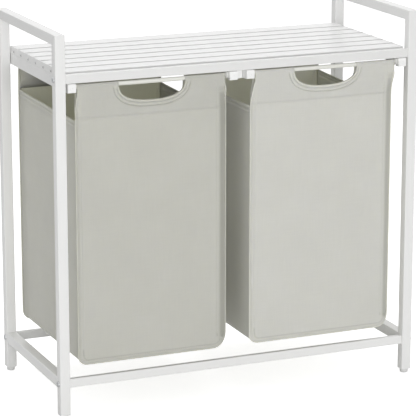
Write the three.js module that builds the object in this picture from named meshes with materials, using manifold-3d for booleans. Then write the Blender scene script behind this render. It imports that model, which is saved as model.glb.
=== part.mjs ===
import * as THREE from "three";
import { mergeVertices } from "three/addons/utils/BufferGeometryUtils.js";
import Module from "manifold-3d";

// A free-standing laundry hamper: a welded and bolted frame of white painted steel tube, a slatted
// shelf between raised side handles, and under it two fabric bags that pull out on runners.
// Millimetres, +Z up, front towards -Y, left side towards -X, floor at z 0.

// Whole frame
const width = 730;
const depth = 336;
const height = 722;
const tube = 19.5;
const tube_wall = 1.2;
const tube_corner = 1.6;
const corner_steps = 3;

// Feet: round glides pressed into the posts
const foot_r = 8;
const foot_height = 8;
const foot_chamfer = 1.6;
const foot_insert_length = 14;
const foot_insert_play = 0.2;
const round_steps = 24;

// Rails that run across the frame, bolted between the posts
const rail_depth = 9.7;
const rail_height = 17;
const rail_wall = 1;
const rail_corner = 1.2;
const rail_end_plate = 3;
const rail_thread_play = 0.2;
const bottom_rail_z = 60;
const side_rail_drop = 0.8;
const side_rail_height = 20.8;

// Bolts through the posts into the ends of those rails
const bolt_r = 3;
const bolt_hole_play = 0.3;
const bolt_head_r = 5.6;
const bolt_head_height = 2.6;
const bolt_head_round = 0.9;
const bolt_socket_r = 2.6;
const bolt_socket_depth = 1.5;
const bolt_reach = 9;
const hex_sides = 6;

// Shelf: flat tube slats held between two side plates
const handle_rise = 71;
const slat_count = 7;
const shelf_end_gap = 3.1;
const slat_gap = 8.8;
const slat_height = 14.6;
const slat_wall = 0.9;
const slat_corner = 1.4;
const plate_thickness = 1.5;
const plate_gap = 1;
const plate_overhang = 0.6;
const shelf_rail_drop = 2.4;

// Channels under the shelf that the bag carriers run in, open towards the bags
const channel_height = 20.9;
const channel_depth = 6.1;
const channel_wall = 1.2;
const centre_half_width = 12;
const centre_web_half = 6.1;
const stop_length = 6;
const stop_clearance = 0.8;

// Carriers: two runner bars, two rods and an end block on each end of each rod
const pull_out = 220;
const block_width = 15.4;
const block_setback = 1.5;
const block_front_gap = 1;
const block_rear_clearance = 0.5;
const under_rail_clearance = 0.4;
const block_height = 16;
const runner_play = 0.3;
const runner_side_play = 0.8;
const runner_centre_play = 1.8;
const runner_thickness = 8.3;
const glide_length = 30;
const rod_r = 4;
const rod_inset = 8;
const rod_top_clearance = 2.4;
const collar_r = 5.9;
const collar_length = 7;

// Bags
const cloth = 1.4;
const cloth_play = 0.3;
const sleeve_block_gap = 2.4;
const sleeve_collar_gap = 1.4;
const body_flare = 2.7;
const left_bag_sway = 0;
const right_bag_sway = -5.2;
const bag_floor_gap = 24.5;
const bag_corner_r = 22;
const bag_corner_steps = 7;
const side_top_drop = 90;
const side_sag = 5;
const sag_steps = 8;
const flap_length_y = 9;
const flap_gap_z = 3.5;
const sleeve_steps = 20;
const hand_hole_width = 130;
const hand_hole_depth = 31.5;
const hand_hole_power = 2.5;
const hand_hole_steps = 14;

const wasm = await Module();
wasm.setup();
const group = new THREE.Group();

// Turns the third local axis into X, Y or Z, so outlines are given in cyclic order:
// (y, z) along X, (z, x) along Y and (x, y) along Z.
const turns = {
  x: new THREE.Matrix4().set(0, 0, 1, 0, 1, 0, 0, 0, 0, 1, 0, 0, 0, 0, 0, 1),
  y: new THREE.Matrix4().set(0, 1, 0, 0, 0, 0, 1, 0, 1, 0, 0, 0, 0, 0, 0, 1),
  z: new THREE.Matrix4(),
};

function outlineShape(points) {
  return new THREE.Shape(points.map(([a, b]) => new THREE.Vector2(a, b)));
}

function prism(axis, outline, from, to, holes = []) {
  const shape = outlineShape(outline);
  for (const hole of holes)
    shape.holes.push(new THREE.Path(hole.map(([a, b]) => new THREE.Vector2(a, b))));
  const made = new THREE.ExtrudeGeometry(shape, { depth: to - from, bevelEnabled: false });
  made.translate(0, 0, from);
  return made.applyMatrix4(turns[axis]);
}

function rectangle(a0, a1, b0, b1) {
  return [[a0, b0], [a1, b0], [a1, b1], [a0, b1]];
}

function arc(ca, cb, r, start, sweep, steps) {
  return Array.from({ length: steps + 1 }, (_, i) => {
    const t = start + (sweep * i) / steps;
    return [ca + r * Math.cos(t), cb + r * Math.sin(t)];
  });
}

function circle(ca, cb, r, steps) {
  return arc(ca, cb, r, 0, 2 * Math.PI, steps).slice(0, -1);
}

function roundedRectangle(a0, a1, b0, b1, r) {
  const quarter = Math.PI / 2;
  return [
    ...arc(a1 - r, b1 - r, r, 0, quarter, corner_steps),
    ...arc(a0 + r, b1 - r, r, quarter, quarter, corner_steps),
    ...arc(a0 + r, b0 + r, r, 2 * quarter, quarter, corner_steps),
    ...arc(a1 - r, b0 + r, r, -quarter, quarter, corner_steps),
  ];
}

// A rectangular tube open at both ends
function tubeAlong(axis, a0, a1, b0, b1, from, to, wall, corner) {
  return prism(axis, roundedRectangle(a0, a1, b0, b1, corner), from, to, [
    rectangle(a0 + wall, a1 - wall, b0 + wall, b1 - wall),
  ]);
}

// Moves every vertex by a rule, for mitred ends
function bend(geometry, rule) {
  const at = geometry.getAttribute("position");
  const v = new THREE.Vector3();
  for (let i = 0; i < at.count; i++) {
    v.fromBufferAttribute(at, i);
    rule(v);
    at.setXYZ(i, v.x, v.y, v.z);
  }
  return geometry;
}

function solid(geometry) {
  const plain = new THREE.BufferGeometry().setAttribute(
    "position",
    (geometry.index ? geometry.toNonIndexed() : geometry).getAttribute("position"),
  );
  const merged = mergeVertices(plain);
  return new wasm.Manifold(
    new wasm.Mesh({
      numProp: 3,
      vertProperties: new Float32Array(merged.getAttribute("position").array),
      triVerts: new Uint32Array(merged.index.array),
    }),
  );
}

function geometryOf(made) {
  const mesh = made.getMesh();
  const position = new Float32Array(mesh.numVert * 3);
  for (let i = 0; i < mesh.numVert; i++)
    position.set(mesh.vertProperties.subarray(i * mesh.numProp, i * mesh.numProp + 3), i * 3);
  const flat = new THREE.BufferGeometry()
    .setAttribute("position", new THREE.BufferAttribute(position, 3))
    .setIndex(new THREE.BufferAttribute(new Uint32Array(mesh.triVerts), 1))
    .toNonIndexed();
  flat.computeVertexNormals();
  return flat;
}

function cut(geometry, ...cutters) {
  let made = solid(geometry);
  for (const c of cutters) made = made.subtract(solid(c));
  return geometryOf(made);
}

function join(first, ...others) {
  let made = solid(first);
  for (const o of others) made = made.add(solid(o));
  return geometryOf(made);
}

const looks = {
  frame_white: { color: 0xeeeeeb, roughness: 0.38, metalness: 0 },
  slat_white: { color: 0xf4f4f2, roughness: 0.4, metalness: 0 },
  runner_white: { color: 0xeaeae7, roughness: 0.42, metalness: 0 },
  rod_cream: { color: 0xe6e5dc, roughness: 0.4, metalness: 0 },
  bolt_steel: { color: 0xb9babb, roughness: 0.35, metalness: 0.9 },
  foot_plastic: { color: 0xcfcfcc, roughness: 0.55, metalness: 0 },
  block_plastic: { color: 0xf2f2f0, roughness: 0.45, metalness: 0 },
  bag_cloth: { color: 0xbcbcb2, roughness: 0.85, metalness: 0 },
};

function add(name, look, geometry) {
  const mesh = new THREE.Mesh(geometry, new THREE.MeshStandardMaterial(looks[look]));
  mesh.name = name;
  group.add(mesh);
}

const half_w = width / 2;
const front = -depth / 2;
const back = depth / 2;
const inner_x = half_w - tube;
const rail_inset = (tube - rail_depth) / 2;
const rail_centre_inset = tube / 2;
const bolt_hole_r = bolt_r + bolt_hole_play;
const rail_thread_r = bolt_r + rail_thread_play;
const side_rail_z = bottom_rail_z - side_rail_drop;
const shelf_top_z = height - handle_rise;
const shelf_rail_top = shelf_top_z - shelf_rail_drop;
const shelf_rail_bottom = shelf_rail_top - rail_height;
const sides = [["left", -1], ["right", 1]];
const ends = [["front", front, 1], ["back", back, -1]];

// Side frames: front post, back post and handle bar mitred together, bottom rail between the posts
const bolt_levels = [
  ["bottom", bottom_rail_z + rail_height / 2],
  ["shelf", shelf_rail_bottom + rail_height / 2],
];
for (const [side, sx] of sides) {
  const outer = sx * half_w;
  const x0 = Math.min(outer, outer - sx * tube);
  const x1 = x0 + tube;
  for (const [end, edge, sy] of ends) {
    const y0 = Math.min(edge, edge + sy * tube);
    const post = bend(
      tubeAlong("z", x0, x1, y0, y0 + tube, foot_height, height, tube_wall, tube_corner),
      (v) => {
        if (v.z > height / 2) v.z = height - sy * (v.y - edge);
      },
    );
    const bores = bolt_levels.map(([, z]) =>
      prism("x", circle(edge + sy * rail_centre_inset, z, bolt_hole_r, round_steps / 2), x0 - tube, x1 + tube),
    );
    add(`post_${end}_${side}`, "frame_white", cut(post, ...bores));

    const hub_r = foot_r - foot_chamfer;
    const hub_top = foot_height + foot_insert_length / 2;
    const glide = new THREE.LatheGeometry(
      [
        [0, 0], [hub_r, 0], [foot_r, foot_chamfer], [foot_r, foot_height],
        [hub_r, foot_height], [hub_r, hub_top], [0, hub_top],
      ].map(([r, z]) => new THREE.Vector2(r, z)),
      round_steps,
    );
    glide.rotateX(Math.PI / 2);
    glide.translate(x0 + tube / 2, y0 + tube / 2, 0);
    const wall = tube_wall + foot_insert_play;
    const insert = prism(
      "z",
      rectangle(x0 + wall, x0 + tube - wall, y0 + wall, y0 + tube - wall),
      foot_height,
      foot_height + foot_insert_length,
    );
    const foot = join(glide, insert);
    add(`foot_${end}_${side}`, "foot_plastic", foot);
  }
  const handle = bend(
    tubeAlong("y", height - tube, height, x0, x1, front, back, tube_wall, tube_corner),
    (v) => {
      v.y = v.y < 0 ? front + (height - v.z) : back - (height - v.z);
    },
  );
  add(`handle_bar_${side}`, "frame_white", handle);
  add(
    `bottom_side_rail_${side}`,
    "frame_white",
    tubeAlong("y", side_rail_z, side_rail_z + side_rail_height, x0, x1, front + tube, back - tube, tube_wall, tube_corner),
  );
}

// Cross rails at the bottom and at the shelf, each with threaded end plates
for (const [end, edge, sy] of ends) {
  const y0 = Math.min(edge + sy * rail_inset, edge + sy * (rail_inset + rail_depth));
  const y1 = y0 + rail_depth;
  const yc = edge + sy * rail_centre_inset;
  for (const [place, z0] of [["bottom", bottom_rail_z], ["shelf", shelf_rail_bottom]]) {
    const z1 = z0 + rail_height;
    const rail = cut(
      prism("x", roundedRectangle(y0, y1, z0, z1, rail_corner), -inner_x, inner_x),
      prism(
        "x",
        rectangle(y0 + rail_wall, y1 - rail_wall, z0 + rail_wall, z1 - rail_wall),
        rail_end_plate - inner_x,
        inner_x - rail_end_plate,
      ),
      prism("x", circle(yc, (z0 + z1) / 2, rail_thread_r, round_steps / 2), -half_w, half_w),
    );
    add(`${place}_${end}_rail`, "frame_white", rail);
  }
}

// Socket-head bolts from outside each post into the rails
for (const [side, sx] of sides)
  for (const [end, edge, sy] of ends)
    for (const [place, z] of bolt_levels) {
      const reach = tube + bolt_reach;
      const body = new THREE.LatheGeometry(
        [
          [0, -reach], [bolt_r, -reach], [bolt_r, 0], [bolt_head_r, 0],
          [bolt_head_r, bolt_head_height - bolt_head_round],
          [bolt_head_r - bolt_head_round, bolt_head_height], [0, bolt_head_height],
        ].map(([r, h]) => new THREE.Vector2(r, h)),
        round_steps / 2,
      );
      body.rotateX(Math.PI / 2);
      const socket = prism(
        "z",
        circle(0, 0, bolt_socket_r, hex_sides),
        bolt_head_height - bolt_socket_depth,
        bolt_head_height + bolt_socket_depth,
      );
      const bolt = cut(body, socket);
      bolt.rotateY((sx * Math.PI) / 2);
      bolt.translate(sx * half_w, edge + sy * rail_centre_inset, z);
      add(`bolt_${place}_${end}_${side}`, "bolt_steel", bolt);
    }

// Shelf slats, and the two side plates that hold their ends
const slat_bottom = shelf_top_z - slat_height;
const plate_outer = inner_x - plate_gap;
const slat_half_length = plate_outer - plate_thickness;
const slats_edge = back - tube - shelf_end_gap;
const slat_width = (2 * slats_edge - (slat_count - 1) * slat_gap) / slat_count;
const slat_pitch = slat_width + slat_gap;
for (let i = 0; i < slat_count; i++) {
  const yc = slats_edge - slat_width / 2 - i * slat_pitch;
  add(
    `shelf_slat_${i + 1}`,
    "slat_white",
    tubeAlong(
      "x", yc - slat_width / 2, yc + slat_width / 2, slat_bottom, shelf_top_z,
      -slat_half_length, slat_half_length, slat_wall, slat_corner,
    ),
  );
}
const plate_half_length = slats_edge + plate_overhang;
for (const [side, sx] of sides) {
  const x0 = Math.min(sx * slat_half_length, sx * plate_outer);
  add(
    `shelf_side_plate_${side}`,
    "frame_white",
    prism("x", rectangle(-plate_half_length, plate_half_length, slat_bottom, shelf_top_z), x0, x0 + plate_thickness),
  );
}

// Channels: one at each side and a double one in the middle, butting on the shelf rails.
// A stop inside each holds the carrier's rear glide at the end of its travel.
const channel_top = slat_bottom;
const channel_bottom = channel_top - channel_height;
const groove_top = channel_top - channel_wall;
const groove_bottom = channel_bottom + channel_wall;
const rails_inner = rail_inset + rail_depth;
const channel_from = front + rails_inner;
const channel_to = back - rails_inner;
const channel_tip = plate_outer - channel_depth;
const glide_front = back - block_front_gap - glide_length;
const stop_front = glide_front - pull_out - runner_play - stop_length;
const runner_top = shelf_rail_bottom - under_rail_clearance;
const stop_bottom = runner_top + stop_clearance;
for (const [side, sx] of sides) {
  const xo = sx * plate_outer;
  const xt = sx * channel_tip;
  const xw = sx * (plate_outer - channel_wall);
  const outline = [
    [channel_bottom, xo], [channel_bottom, xt], [groove_bottom, xt], [groove_bottom, xw],
    [groove_top, xw], [groove_top, xt], [channel_top, xt], [channel_top, xo],
  ];
  const stop = prism(
    "y",
    rectangle(stop_bottom, channel_top, Math.min(xt, xo), Math.max(xt, xo)),
    stop_front,
    stop_front + stop_length,
  );
  add(
    `runner_channel_${side}`,
    "runner_white",
    join(prism("y", sx > 0 ? outline : outline.reverse(), channel_from, channel_to), stop),
  );
}
{
  const w = centre_web_half;
  const o = centre_half_width;
  const outline = [
    [channel_bottom, -o], [groove_bottom, -o], [groove_bottom, -w], [groove_top, -w],
    [groove_top, -o], [channel_top, -o], [channel_top, o], [groove_top, o],
    [groove_top, w], [groove_bottom, w], [groove_bottom, o], [channel_bottom, o],
  ];
  const hollow = rectangle(groove_bottom, groove_top, channel_wall - w, w - channel_wall);
  const stops = [[-o, -w], [w, o]].map(([a, b]) =>
    prism("y", rectangle(stop_bottom, channel_top, a, b), stop_front, stop_front + stop_length),
  );
  add("runner_channel_centre", "runner_white", join(prism("y", outline, channel_from, channel_to, [hollow]), ...stops));
}

// Bag carriers
const block_top = runner_top;
const block_bottom = block_top - block_height;
const glide_bottom = groove_bottom + runner_play;
const glide_top = groove_top - runner_play;
const rod_z = shelf_rail_bottom - rod_top_clearance - rod_r;
const block_rear = front + rails_inner - block_rear_clearance;
const rods = [["front", front + rod_inset], ["back", back - rod_inset]];
const runner_outer_x = plate_outer - channel_wall - runner_side_play;
const runner_inner_x = centre_web_half + runner_centre_play;
const carrier_centre_x = (runner_outer_x + runner_inner_x) / 2;
const runner_outer = (runner_outer_x - runner_inner_x) / 2;
const carrier_half_width = runner_outer - block_setback;
const block_inner = carrier_half_width - block_width;
const cloth_outer_r = rod_r + cloth_play + cloth;
const sleeve_from = sleeve_block_gap - block_inner;
const sleeve_to = block_inner - collar_length - sleeve_collar_gap;
const sleeve_half = (sleeve_to - sleeve_from) / 2;
const bag_shift = (sleeve_to + sleeve_from) / 2;
const body_half = sleeve_half + body_flare;
const bag_bottom_z = bottom_rail_z + rail_height + bag_floor_gap;
const side_top_z = shelf_top_z - side_top_drop;
const flap_top = block_bottom - flap_gap_z;
const hole_half = hand_hole_width / 2;
const hole_top = rod_z - rod_r;

for (const [side, sx, sway] of [["left", -1, left_bag_sway], ["right", 1, right_bag_sway]]) {
  const cx = sx * carrier_centre_x;
  for (const [hand, hx] of sides) {
    const bx0 = Math.min(cx + hx * carrier_half_width, cx + hx * block_inner);
    add(
      `${side}_carrier_front_${hand}_block`,
      "block_plastic",
      prism(
        "x",
        roundedRectangle(front + block_front_gap, block_rear, block_bottom, block_top, tube_corner),
        bx0,
        bx0 + block_width,
      ),
    );
    const rear = back - block_front_gap;
    const step = channel_to - runner_play;
    const gx0 = Math.min(cx + hx * runner_outer, cx + hx * block_inner);
    add(
      `${side}_carrier_back_${hand}_glide`,
      "block_plastic",
      prism(
        "x",
        [
          [glide_front, glide_bottom], [rear, glide_bottom], [rear, block_top],
          [step, block_top], [step, glide_top], [glide_front, glide_top],
        ],
        gx0,
        gx0 + (runner_outer - block_inner),
      ),
    );
    const rx0 = Math.min(cx + hx * runner_outer, cx + hx * (runner_outer - runner_thickness));
    add(
      `${side}_carrier_${hand}_runner`,
      "runner_white",
      prism("x", rectangle(block_rear, glide_front, glide_bottom, block_top), rx0, rx0 + runner_thickness),
    );
  }
  for (const [end, y] of rods)
    add(
      `${side}_carrier_${end}_rod`,
      "rod_cream",
      join(
        prism("x", circle(y, rod_z, rod_r, round_steps), cx - block_inner, cx + block_inner),
        prism(
          "x",
          circle(y, rod_z, collar_r, round_steps),
          cx + block_inner - collar_length,
          cx + block_inner,
        ),
      ),
    );

  // Bag: a front and a back panel sewn to one strip that makes both sides and the base.
  // Its edges lean from the sleeves on the rods to the body below.
  const bx = cx + bag_shift;
  const edgeX = (hx, z) => {
    const t = Math.min(1, Math.max(0, (z - side_top_z) / (flap_top - side_top_z)));
    return (1 - t) * (bx + sway + hx * body_half) + t * (bx + hx * sleeve_half);
  };
  const low = (hx) => edgeX(hx, side_top_z);
  const r = bag_corner_r;
  const quarter = Math.PI / 2;
  const panelOutline = [
    [rod_z, edgeX(-1, rod_z)], [flap_top, edgeX(-1, flap_top)], [side_top_z, low(-1)],
    ...arc(bag_bottom_z + r, low(-1) + r, r, -quarter, -quarter, bag_corner_steps),
    ...arc(bag_bottom_z + r, low(1) - r, r, 2 * quarter, -quarter, bag_corner_steps),
    [side_top_z, low(1)], [flap_top, edgeX(1, flap_top)], [rod_z, edgeX(1, rod_z)],
  ];
  const holeOutline = [[height, bx + hole_half], [height, bx - hole_half]];
  for (let i = 0; i <= hand_hole_steps; i++) {
    const a = Math.PI * (1 - i / hand_hole_steps);
    const reach_share = 2 / hand_hole_power;
    const c = Math.sign(Math.cos(a)) * Math.abs(Math.cos(a)) ** reach_share;
    const s = Math.sin(a) ** reach_share;
    holeOutline.push([hole_top - hand_hole_depth * s, bx + hole_half * c]);
  }
  for (const [end, edge, sy] of ends) {
    const y_rod = edge + sy * rod_inset;
    const span = (a, b) => [Math.min(y_rod - sy * a, y_rod - sy * b), Math.max(y_rod - sy * a, y_rod - sy * b)];
    const skin = span(cloth_outer_r, cloth_outer_r - cloth);
    const lining = span(cloth_outer_r, cloth_outer_r - 2 * cloth);
    const in_side = cloth + cloth_play;
    const sleeve = prism("x", circle(y_rod, rod_z, cloth_outer_r, sleeve_steps), bx - sleeve_half, bx + sleeve_half);
    const bore = prism("x", circle(y_rod, rod_z, rod_r + cloth_play, sleeve_steps), bx - half_w, bx + half_w);
    const facing = prism(
      "y",
      [
        [rod_z, edgeX(-1, rod_z) + in_side], [flap_top, edgeX(-1, flap_top) + in_side],
        [side_top_z, low(-1) + in_side], [side_top_z, low(1) - in_side],
        [flap_top, edgeX(1, flap_top) - in_side], [rod_z, edgeX(1, rod_z) - in_side],
      ].reverse(),
      ...lining,
    );
    const sheet = join(prism("y", panelOutline.slice().reverse(), ...skin), facing, sleeve);
    add(`${side}_bag_${end}_panel`, "bag_cloth", cut(sheet, bore, prism("y", holeOutline.slice().reverse(), -depth, depth)));
  }

  const strip_from = front + rod_inset - cloth_outer_r + cloth;
  const strip_to = -strip_from;
  const inner_r = r - cloth;
  const strip = [
    [flap_top, edgeX(-1, flap_top)], [side_top_z, low(-1)],
    ...arc(bag_bottom_z + r, low(-1) + r, r, -quarter, -quarter, bag_corner_steps),
    ...arc(bag_bottom_z + r, low(1) - r, r, 2 * quarter, -quarter, bag_corner_steps),
    [side_top_z, low(1)], [flap_top, edgeX(1, flap_top)],
    [flap_top, edgeX(1, flap_top) - cloth], [side_top_z, low(1) - cloth],
    ...arc(bag_bottom_z + r, low(1) - r, inner_r, quarter, quarter, bag_corner_steps),
    ...arc(bag_bottom_z + r, low(-1) + r, inner_r, 2 * quarter, quarter, bag_corner_steps),
    [side_top_z, low(-1) + cloth], [flap_top, edgeX(-1, flap_top) + cloth],
  ];
  const window_from = front + rod_inset + flap_length_y;
  const window_to = -window_from;
  const sag = Array.from({ length: sag_steps + 1 }, (_, i) => {
    const t = i / sag_steps;
    return [window_from + (window_to - window_from) * t, side_top_z - side_sag * 4 * t * (1 - t)];
  });
  const opening = prism("x", [...sag, [window_to, height], [window_from, height]], -width, width);
  add(`${side}_bag_side_strip`, "bag_cloth", cut(prism("y", strip.reverse(), strip_from, strip_to), opening));
}

export default group;
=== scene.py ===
import math

import bpy
import numpy as np
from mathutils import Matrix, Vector
from mathutils.geometry import delaunay_2d_cdt


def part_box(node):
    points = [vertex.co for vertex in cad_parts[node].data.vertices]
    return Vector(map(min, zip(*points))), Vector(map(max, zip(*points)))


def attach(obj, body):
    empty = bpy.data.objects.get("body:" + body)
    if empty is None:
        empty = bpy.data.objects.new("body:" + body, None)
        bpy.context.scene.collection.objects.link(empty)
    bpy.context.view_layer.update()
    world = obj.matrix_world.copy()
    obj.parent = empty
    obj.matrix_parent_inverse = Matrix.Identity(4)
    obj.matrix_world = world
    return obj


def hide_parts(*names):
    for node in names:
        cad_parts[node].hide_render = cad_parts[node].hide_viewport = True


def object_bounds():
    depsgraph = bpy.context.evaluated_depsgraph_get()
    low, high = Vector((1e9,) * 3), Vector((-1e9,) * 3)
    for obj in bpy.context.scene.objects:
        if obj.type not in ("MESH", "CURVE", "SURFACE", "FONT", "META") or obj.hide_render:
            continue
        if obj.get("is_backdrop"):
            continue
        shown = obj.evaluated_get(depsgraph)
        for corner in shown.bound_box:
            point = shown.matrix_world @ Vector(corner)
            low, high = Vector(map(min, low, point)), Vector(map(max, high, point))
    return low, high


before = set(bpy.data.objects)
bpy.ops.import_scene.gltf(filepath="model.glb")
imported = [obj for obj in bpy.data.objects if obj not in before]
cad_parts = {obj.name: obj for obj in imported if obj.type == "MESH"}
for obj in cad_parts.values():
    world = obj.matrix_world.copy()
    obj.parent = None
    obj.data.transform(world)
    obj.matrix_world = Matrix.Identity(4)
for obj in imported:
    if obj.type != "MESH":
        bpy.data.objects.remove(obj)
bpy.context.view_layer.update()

# Camera
# A long lens in front of the hamper and to its left, a little above it.
camera_place = (-1.6575, -3.904, 1.4026)
camera_turn_deg = -23.03
camera_drop_deg = 14.17
lens_mm = 194.7

camera = bpy.data.objects.new("camera", bpy.data.cameras.new("camera"))
camera.location = camera_place
camera.rotation_euler = (math.radians(90 - camera_drop_deg), 0, math.radians(camera_turn_deg))
camera.data.lens = lens_mm
camera.data.sensor_width = 36
bpy.context.scene.collection.objects.link(camera)
bpy.context.scene.camera = camera
bpy.context.scene.view_settings.view_transform = "Standard"

# Room
# A white floor that runs to the horizon under a soft sky, which is a little brighter at the left, with two
# soft lamps: a low one in front and to the left, and one above. The camera sees floor and sky as white.
floor_half = 30
floor_white = (0.86, 0.86, 0.86, 1)
floor_lift = 0.68
sky_white = 1
sky_light = {"left": 0.57, "right": 0.45}
lamps = [
    # place, what it faces, width, power
    ((-1.3, -5.0, 1.0), (0, 0, 0.35), 2.0, 86),
    ((0.2, 0.3, 4.4), (0, 0, 0.4), 2.4, 64),
]


def link(name, mesh):
    piece = bpy.data.objects.new(name, mesh)
    bpy.context.scene.collection.objects.link(piece)
    return piece


def new_material(name):
    made = bpy.data.materials.new(name)
    made.use_nodes = True
    nodes = made.node_tree.nodes
    return made, nodes, made.node_tree.links, nodes["Principled BSDF"]


def add_node(nodes, kind, values=None, **settings):
    """A new node with its settings, and values for some of its sockets."""
    node = nodes.new(f"ShaderNode{kind}")
    for setting, value in settings.items():
        setattr(node, setting, value)
    for socket, value in (values or {}).items():
        node.inputs[socket].default_value = value
    return node


corners = [(x * floor_half, y * floor_half, 0) for x, y in ((-1, -1), (1, -1), (1, 1), (-1, 1))]
floor_mesh = bpy.data.meshes.new("floor")
floor_mesh.from_pydata(corners, [], [(0, 1, 2, 3)])
floor = link("floor", floor_mesh)
floor_paint, nodes, links, shader = new_material("floor_paint")
shader.inputs["Base Color"].default_value = floor_white
shader.inputs["Roughness"].default_value = 0.9
shader.inputs["Specular IOR Level"].default_value = 0.1
lift = add_node(nodes, "Emission", {"Strength": floor_lift})
unlit = add_node(nodes, "Emission", {"Strength": 0})
seen = add_node(nodes, "LightPath")
choose = add_node(nodes, "MixShader")
both = add_node(nodes, "AddShader")
links.new(seen.outputs["Is Camera Ray"], choose.inputs["Fac"])
links.new(unlit.outputs["Emission"], choose.inputs[1])
links.new(lift.outputs["Emission"], choose.inputs[2])
links.new(shader.outputs["BSDF"], both.inputs[0])
links.new(choose.outputs["Shader"], both.inputs[1])
links.new(both.outputs["Shader"], nodes["Material Output"].inputs["Surface"])
floor_mesh.materials.append(floor_paint)
floor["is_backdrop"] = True

sky = bpy.data.worlds.new("sky")
sky.use_nodes = True
bpy.context.scene.world = sky
nodes, links = sky.node_tree.nodes, sky.node_tree.links
ahead = add_node(nodes, "TexCoord")
split = add_node(nodes, "SeparateXYZ")
slope = add_node(
    nodes, "MapRange", {"From Min": -1, "To Min": sky_light["left"], "To Max": sky_light["right"]}
)
seen = add_node(nodes, "LightPath")
plain = add_node(nodes, "Math", operation="MAXIMUM")
strength = add_node(nodes, "Mix", {"B": sky_white})
nodes["Background"].inputs["Color"].default_value = (1, 1, 1, 1)
links.new(ahead.outputs["Generated"], split.inputs["Vector"])
links.new(split.outputs["X"], slope.inputs["Value"])
links.new(slope.outputs["Result"], strength.inputs["A"])
links.new(seen.outputs["Is Camera Ray"], plain.inputs[0])
links.new(seen.outputs["Is Glossy Ray"], plain.inputs[1])
links.new(plain.outputs["Value"], strength.inputs["Factor"])
links.new(strength.outputs["Result"], nodes["Background"].inputs["Strength"])

for number, (place, target, size, power) in enumerate(lamps):
    lamp = bpy.data.lights.new(f"lamp_{number}", "AREA")
    lamp.size = size
    lamp.energy = power
    holder = bpy.data.objects.new(f"lamp_{number}", lamp)
    holder.location = place
    holder.rotation_euler = (Vector(target) - Vector(place)).to_track_quat("-Z", "Y").to_euler()
    bpy.context.scene.collection.objects.link(holder)

# Side frames
# Square steel tube: two posts and a handle bar mitred and welded together, with a rail welded in low down,
# all powder coated white.
frame_white = (0.87, 0.87, 0.86)
frame_roughness = 0.38
tube_round = 0.0011
coat_gloss_roughness = 0.16


def new_group(name, inputs, outputs):
    """A node group. Its sockets are numbers, apart from Flat, which is a place on the flat cloth."""
    group = bpy.data.node_groups.new(name, "ShaderNodeTree")
    for side, sockets in (("INPUT", inputs), ("OUTPUT", outputs)):
        for socket in sockets:
            kind = "NodeSocketVector" if socket == "Flat" else "NodeSocketFloat"
            group.interface.new_socket(name=socket, in_out=side, socket_type=kind)
    entry = group.nodes.new("NodeGroupInput")
    leave = group.nodes.new("NodeGroupOutput")
    return group, group.nodes, group.links, entry, leave


coat_group, nodes, links, entry, leave = new_group("coat_skin", ["Grain", "Depth"], ["Height", "Shade"])
where = add_node(nodes, "TexCoord")
peel = add_node(nodes, "TexNoise", {"Detail": 2})
cloud = add_node(nodes, "TexNoise", {"Scale": 9, "Detail": 3})
spread = add_node(nodes, "MapRange", {"From Min": 0.3, "From Max": 0.7, "To Max": 1})
low = add_node(nodes, "Math", {0: 1}, operation="SUBTRACT")
links.new(where.outputs["Object"], peel.inputs["Vector"])
links.new(where.outputs["Object"], cloud.inputs["Vector"])
links.new(entry.outputs["Grain"], peel.inputs["Scale"])
links.new(entry.outputs["Depth"], low.inputs[1])
links.new(cloud.outputs["Fac"], spread.inputs["Value"])
links.new(low.outputs["Value"], spread.inputs["To Min"])
links.new(peel.outputs["Fac"], leave.inputs["Height"])
links.new(spread.outputs["Result"], leave.inputs["Shade"])


def coated(name, colour, roughness, grain=700, depth=0.025, bump=0.12, metallic=0.0, gloss=0.0):
    """Paint, plating or moulded plastic: one colour, clouded a little, over a fine skin texture."""
    made, nodes, links, shader = new_material(name)
    skin = add_node(nodes, "Group", {"Grain": grain, "Depth": depth}, node_tree=coat_group)
    tint = add_node(nodes, "Mix", {"A": (0, 0, 0, 1), "B": (*colour, 1)}, data_type="RGBA")
    bumps = add_node(nodes, "Bump", {"Strength": bump, "Distance": 0.0003})
    shader.inputs["Roughness"].default_value = roughness
    shader.inputs["Metallic"].default_value = metallic
    shader.inputs["Coat Weight"].default_value = gloss
    shader.inputs["Coat Roughness"].default_value = coat_gloss_roughness
    links.new(skin.outputs["Shade"], tint.inputs["Factor"])
    links.new(tint.outputs["Result"], shader.inputs["Base Color"])
    links.new(skin.outputs["Height"], bumps.inputs["Height"])
    links.new(bumps.outputs["Normal"], shader.inputs["Normal"])
    return made


def dress(node, material, rounding, steps=2):
    """Gives a CAD node its finish, softly rounded edges and smooth shading."""
    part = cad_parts[node]
    part.data.materials.clear()
    part.data.materials.append(material)
    part.data.shade_smooth()
    weld = part.modifiers.new("weld", "WELD")
    weld.merge_threshold = 1e-6
    bevel = part.modifiers.new("bevel", "BEVEL")
    bevel.width = rounding
    bevel.segments = steps
    bevel.limit_method = "ANGLE"
    bevel.angle_limit = math.radians(40)
    bevel.use_clamp_overlap = True
    bevel.miter_outer = "MITER_ARC"
    normals = part.modifiers.new("normals", "WEIGHTED_NORMAL")
    normals.mode = "FACE_AREA_WITH_ANGLE"
    normals.weight = 100
    return part


coat = coated("white_powder_coat", frame_white, frame_roughness, bump=0.08, gloss=0.55)
sides = ("left", "right")
ends = ("front", "back")
for side in sides:
    for end in ends:
        dress(f"post_{end}_{side}", coat, tube_round)
    dress(f"handle_bar_{side}", coat, tube_round)
    dress(f"bottom_side_rail_{side}", coat, tube_round)

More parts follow.
